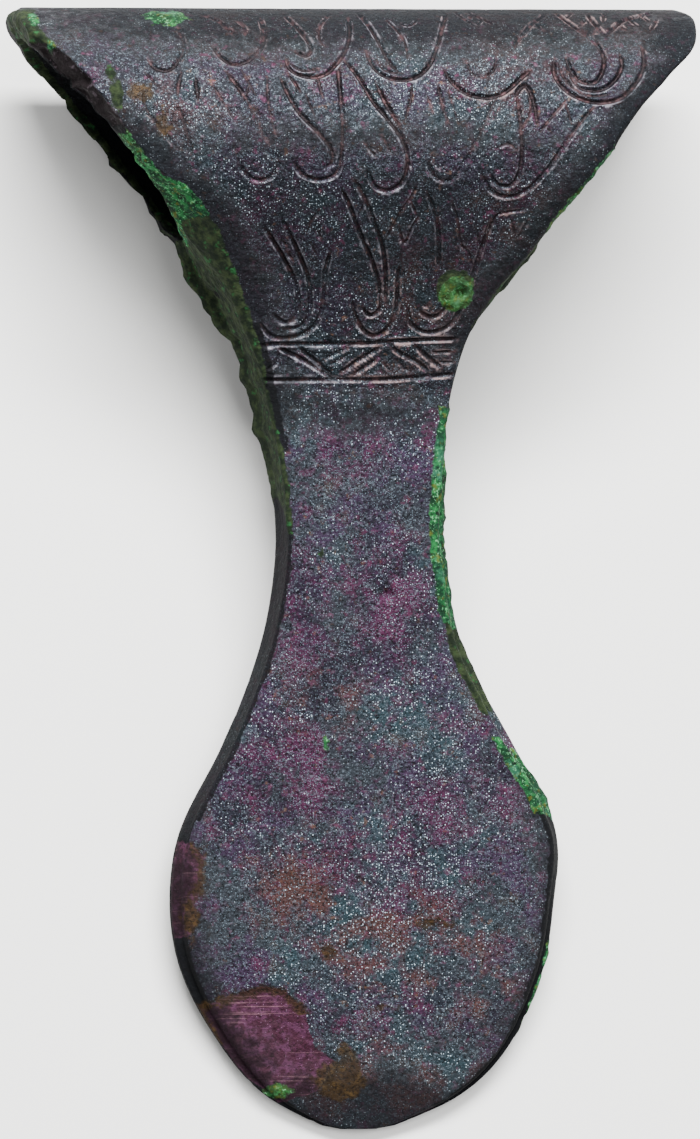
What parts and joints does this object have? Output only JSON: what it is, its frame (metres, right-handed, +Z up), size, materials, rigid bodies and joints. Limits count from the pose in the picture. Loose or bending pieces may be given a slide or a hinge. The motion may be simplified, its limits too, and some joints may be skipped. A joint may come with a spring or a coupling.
{
  "type": "bronze axe head",
  "caption": "Cast bronze axe head with a flared tube for the haft across its top, a slim neck, a spoon-shaped blade and engraved hooks, lying on its back.",
  "frame": {"origin": "centre of the box's underside, on the surface the axe head lies on", "axes": "+Z up out of the decorated face, +Y from the blade towards the nape, +X to the right of the decorated face, along the haft hole"},
  "size_m": [0.0978, 0.1592, 0.0358],
  "materials": {
    "bronze": "purple-brown patina with green corrosion along the seam"
  },
  "bodies": {
    "root": {"axe_head": "bronze"}
  },
  "joints": []
}
